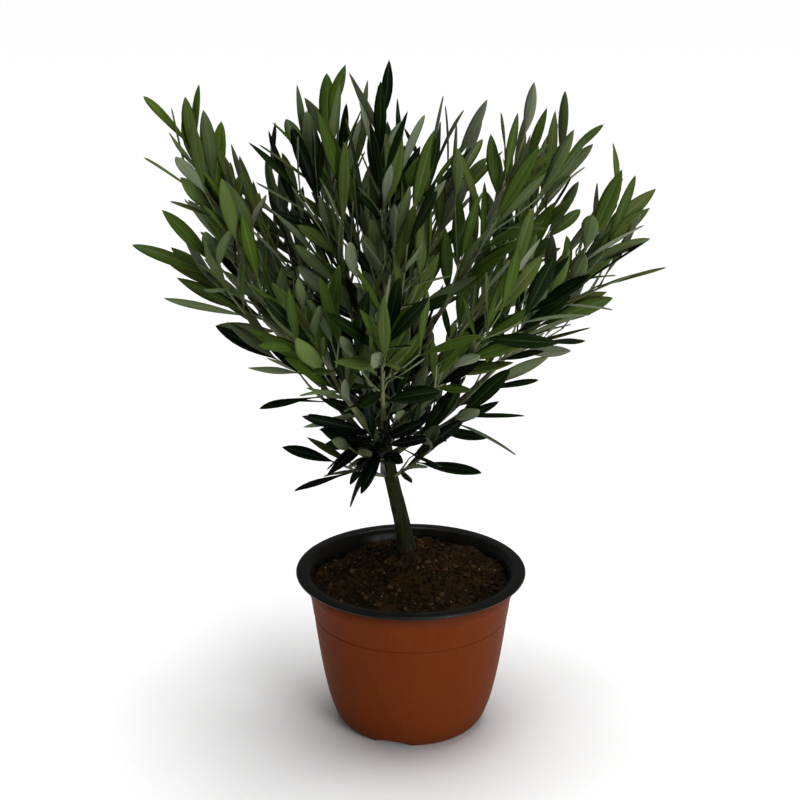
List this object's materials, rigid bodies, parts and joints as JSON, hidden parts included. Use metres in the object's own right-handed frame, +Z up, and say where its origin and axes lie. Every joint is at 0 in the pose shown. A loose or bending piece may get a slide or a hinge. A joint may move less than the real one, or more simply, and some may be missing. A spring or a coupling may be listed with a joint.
{
  "type": "potted olive bonsai",
  "caption": "Young olive tree with a leaning trunk and an open, upright crown of narrow leaves, growing in a round terracotta-coloured plastic pot with a flat black lip.",
  "frame": {"origin": "centre of the pot's flat underside", "axes": "+Z up along the pot's axis; -Y is the front that the picture shows, +X is to its right"},
  "size_m": [0.3364, 0.3165, 0.4579],
  "materials": {
    "terracotta_plastic": "satin",
    "black_plastic": "satin",
    "potting_soil": "matte",
    "bark": "matte",
    "leaves": "satin"
  },
  "bodies": {
    "root": {"pot_wall": "terracotta_plastic", "pot_lip": "black_plastic", "soil": "potting_soil", "trunk": "bark", "bough_left_mid": "bark", "bough_left_low": "bark", "bough_right_low": "bark", "bough_right_mid": "bark", "bough_back_left": "bark", "bough_front_left": "bark", "bough_back_right": "bark", "bough_right_front": "bark", "bough_left_top": "bark", "bough_front": "bark", "bough_back": "bark", "bough_right_back": "bark", "bough_centre_left": "bark", "bough_centre": "bark", "bough_right_top": "bark", "bough_front_mid": "bark", "bough_centre_back": "bark", "bough_centre_right": "bark", "foliage_low_front": "leaves", "foliage_low_right": "leaves", "foliage_low_left": "leaves", "foliage_left_mid": "leaves", "foliage_left_under": "leaves", "foliage_left_low": "leaves", "foliage_right_low": "leaves", "foliage_right_under": "leaves", "foliage_right_mid": "leaves", "foliage_back_left": "leaves", "foliage_front_left": "leaves", "foliage_back_right": "leaves", "foliage_right_front": "leaves", "foliage_left_top": "leaves", "foliage_front": "leaves", "foliage_back": "leaves", "foliage_right_back": "leaves", "foliage_centre_left": "leaves", "foliage_centre": "leaves", "foliage_right_top": "leaves", "foliage_front_mid": "leaves", "foliage_centre_back": "leaves", "foliage_centre_right": "leaves"}
  },
  "joints": []
}
